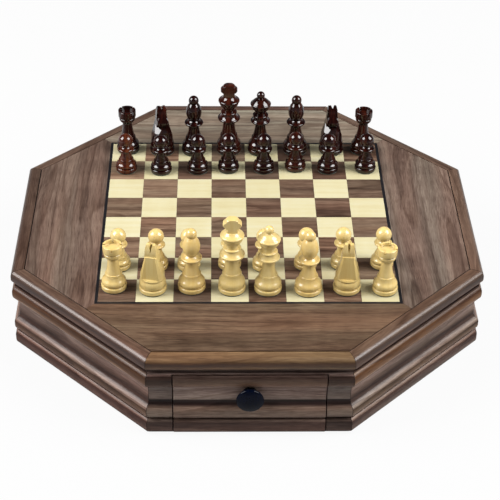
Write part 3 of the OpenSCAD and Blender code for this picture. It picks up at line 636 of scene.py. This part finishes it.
def smooth_group():
    """Welds the mesh, drops its facet normals and smooths what turns by less than the angle."""
    group, mesh, result = mesh_group("smooth_rounds")
    weld = node(group, "GeometryNodeMergeByDistance", {"Geometry": mesh, "Distance": WELD_DISTANCE})
    plain = node(group, "GeometryNodeRemoveAttribute", {"Geometry": weld, "Name": "custom_normal"})
    turn = node(group, "GeometryNodeInputMeshEdgeAngle")
    sharp = compare(group, "GREATER_THAN", turn, math.radians(SMOOTH_ANGLE))
    round_all = {"Geometry": plain, "Shade Smooth": True}
    faces = node(group, "GeometryNodeSetShadeSmooth", round_all, domain="FACE")
    keep_sharp = {"Geometry": faces, "Selection": sharp, "Shade Smooth": False}
    edges = node(group, "GeometryNodeSetShadeSmooth", keep_sharp, domain="EDGE")
    group.links.new(edges, result)
    return group


def felt_group(material):
    """Gives a man's felt, which is all of it below a height, its own material."""
    group, mesh, result = mesh_group("felt_below")
    height = axes(group, node(group, "GeometryNodeInputPosition"))["Z"]
    low = compare(group, "LESS_THAN", height, FELT_TOP)
    painted = node(group, "GeometryNodeSetMaterial", {"Geometry": mesh, "Selection": low})
    painted.node.inputs["Material"].default_value = material
    group.links.new(painted, result)
    return group


SMOOTH = smooth_group()


def finish_node(name, material, edge=0.0):
    """Gives a solid its material, its softened edges and its smooth rounds."""
    o = NODES[name]
    o.data.materials.clear()
    o.data.materials.append(material)
    if edge:
        weld = o.modifiers.new("weld", "NODES")
        weld.node_group = SMOOTH
        bevel = o.modifiers.new("edges", "BEVEL")
        bevel.width = edge
        bevel.segments = 2
        bevel.limit_method = "ANGLE"
        bevel.angle_limit = math.radians(EDGE_ANGLE)
        bevel.use_clamp_overlap = True
    smooth = o.modifiers.new("smooth", "NODES")
    smooth.node_group = SMOOTH


def man_centre(name):
    low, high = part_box(name)
    return ((low.x + high.x) / 2, (low.y + high.y) / 2)


def dress_men():
    felts = felt_group(felt("felt_green", (44, 84, 58), (24, 52, 34)))
    men = sorted(n for n in NODES if n.startswith(("white_", "black_")))
    for seed, name in enumerate(men, 1):
        centre = man_centre(name)
        if name.startswith("white_"):
            material = boxwood("boxwood_" + name, centre, seed, GOLDEN.get(name, PLAIN_GOLDEN))
        else:
            material = lacquer("lacquer_" + name, centre, seed, REDDER.get(name, 0.0))
        finish_node(name, material)
        under = NODES[name].modifiers.new("felt", "NODES")
        under.node_group = felts


def dress_case():
    for i, side in enumerate(WALLS):
        tints = (LIT_SIDE_TINTS.get(side, WALL_TINT),) * SIDES
        # Front and back walls take the front's painted shade and light, the others the walls' painted shade
        # and light: the two differ for how light falls on them.
        painted_shading = FRONT_PAINTED_SHADING if side in ("front", "back") else WALL_PAINTED_SHADING
        finish_node("wall_" + side, walnut_frame("walnut_wall_" + side, 20.0 + i, tints, painted_shading), EDGE)
    # The rim takes the rim's painted shade and light by height.
    rim = walnut_frame("walnut_rim", 40.0, RIM_TONE_AND_LIGHT, RIM_PAINTED_SHADING, gloss=0.34, shine=0.36)
    finish_node("top_rim", rim, EDGE)


def dress_board():
    border = walnut_frame("walnut_border", 50.0, VENEER_TONE_AND_SHEEN, seam=0.0, gloss=0.46, shine=0.2)
    finish_node("veneer_border", border)
    finish_node("walnut_squares", walnut_squares())
    finish_node("maple_squares", maple())
    finish_node("stringing", stringing())
    finish_node("top_board", board_core())


def dress_inside():
    finish_node("foot_pads", felt("felt_black", (40, 40, 42), (16, 16, 18)))
    finish_node("base_panel", pine("birch_base", (9, 160, 160), BIRCH_DARK, BIRCH_LIGHT))
    finish_node("drawer_guides", pine("pine_guides", (160, 7, 160), PINE_DARK, PINE_LIGHT))
    finish_node("centre_divider", pine("pine_divider", (7, 160, 160), PINE_DARK, PINE_LIGHT))


def dress_drawers():
    gloss = black_gloss()
    metal = steel()
    box = pine("pine_drawer", (160, 8, 160), (196, 158, 106), (232, 202, 152))
    bottom = pine("birch_bottom", (160, 9, 160), (196, 162, 114), (230, 204, 158))
    for i, end in enumerate(("front", "back")):
        # The drawer fronts take the front's painted shade and light by height.
        face = walnut_frame("walnut_drawer_" + end, 60.0 + i, (DRAWER_TINT,) * SIDES, FRONT_PAINTED_SHADING)
        finish_node(end + "_drawer_front", face, DRAWER_EDGE)
        finish_node(end + "_drawer_box", box)
        finish_node(end + "_drawer_bottom", bottom)
        finish_node(end + "_drawer_knob", gloss)
        finish_node(end + "_knob_screw", metal)


# ---- Stage: floor, lights, camera ----
def floor():
    """Pale floor: nearly white to the camera but for the object's shadow, and dark under the box."""
    bpy.ops.mesh.primitive_plane_add(size=FLOOR_SIZE, location=(0, 0, 0))
    plane = bpy.context.object
    plane.name = "floor"
    material = bpy.data.materials.new("floor_white")
    material.use_nodes = True
    tree = material.node_tree
    tree.nodes.clear()
    out = tree.nodes.new("ShaderNodeOutputMaterial")
    off = axes(tree, vec(tree, "ABSOLUTE", object_place(tree)))
    diagonal = math_node(tree, "MULTIPLY", math_node(tree, "ADD", off["X"], off["Y"]), math.sqrt(0.5))
    reach = math_node(tree, "MAXIMUM", diagonal, math_node(tree, "MAXIMUM", off["X"], off["Y"]))
    open_floor = math_node(tree, "GREATER_THAN", reach, CASE_HALF - UNDER_BOX)
    seen = tree.nodes.new("ShaderNodeLightPath").outputs["Is Camera Ray"]
    matte = node(tree, "ShaderNodeBsdfDiffuse", {"Color": (FLOOR_PALE,) * 3})
    white = node(tree, "ShaderNodeEmission", {"Color": (1, 1, 1), "Strength": 1.0})
    share = math_node(tree, "MULTIPLY", math_node(tree, "MULTIPLY", seen, FLOOR_SHARE), open_floor)
    mixed = node(tree, "ShaderNodeMixShader", {0: share, 1: matte, 2: white})
    tree.links.new(mixed, out.inputs["Surface"])
    plane.data.materials.append(material)


def world():
    """Soft fill from all round, and a white backdrop for the camera and for what mirrors it."""
    w = bpy.data.worlds.new("studio")
    w.use_nodes = True
    bpy.context.scene.world = w
    tree = w.node_tree
    tree.nodes.clear()
    out = tree.nodes.new("ShaderNodeOutputWorld")
    path = tree.nodes.new("ShaderNodeLightPath")
    glossy = path.outputs["Is Glossy Ray"]
    strength = math_node(tree, "MULTIPLY_ADD", glossy, MIRRORED_FILL - FILL)
    strength.node.inputs[2].default_value = FILL
    fill = node(tree, "ShaderNodeBackground", {"Color": (1.0, 1.0, 1.0), "Strength": strength})
    white = node(tree, "ShaderNodeBackground", {"Color": (1, 1, 1), "Strength": 1.0})
    height = axes(tree, node(tree, "ShaderNodeTexCoord", out=0))["Z"]
    low = ramp(tree, height, [(BACKDROP_FULL, (1, 1, 1)), (BACKDROP_TOP, (0, 0, 0))])
    mirrored = math_node(tree, "MAXIMUM", glossy, path.outputs["Is Transmission Ray"])
    backdrop = math_node(tree, "MULTIPLY", math_node(tree, "MULTIPLY", mirrored, low), BACKDROP)
    seen = math_node(tree, "MAXIMUM", path.outputs["Is Camera Ray"], backdrop)
    tree.links.new(node(tree, "ShaderNodeMixShader", {0: seen, 1: fill, 2: white}), out.inputs["Surface"])


def softbox(name, direction, power):
    """A square area light that looks at the middle of the board, unseen by the camera."""
    light = bpy.data.lights.new(name, "AREA")
    light.shape = "SQUARE"
    light.size = SOFTBOX_SIDE
    light.energy = power
    o = bpy.data.objects.new(name, light)
    bpy.context.scene.collection.objects.link(o)
    d = Vector(direction).normalized()
    o.location = Vector((0, 0, PLAY_Z)) + d * SOFTBOX_DISTANCE
    o.rotation_mode = "QUATERNION"
    o.rotation_quaternion = d.to_track_quat("Z", "Y")
    o.visible_camera = False


def camera():
    yaw, pitch, roll = (math.radians(a) for a in CAMERA_TURNS)
    ahead = Vector((-math.sin(yaw) * math.cos(pitch), math.cos(yaw) * math.cos(pitch), -math.sin(pitch)))
    right = Vector((math.cos(yaw), math.sin(yaw), 0))
    up = right.cross(ahead)
    x = right * math.cos(roll) + up * math.sin(roll)
    y = up * math.cos(roll) - right * math.sin(roll)
    data = bpy.data.cameras.new("camera")
    data.sensor_width = CAMERA_SENSOR
    data.lens = CAMERA_LENS
    o = bpy.data.objects.new("camera", data)
    bpy.context.scene.collection.objects.link(o)
    turned = Matrix((x, y, -ahead)).transposed().to_4x4()
    o.matrix_world = Matrix.Translation(CAMERA_PLACE) @ turned
    bpy.context.scene.camera = o


dress_case()
dress_board()
dress_inside()
dress_drawers()
dress_men()
floor()
world()
for box_name, (direction, power) in SOFTBOXES.items():
    softbox(box_name, direction, power)
camera()
bpy.context.scene.view_settings.view_transform = "Standard"
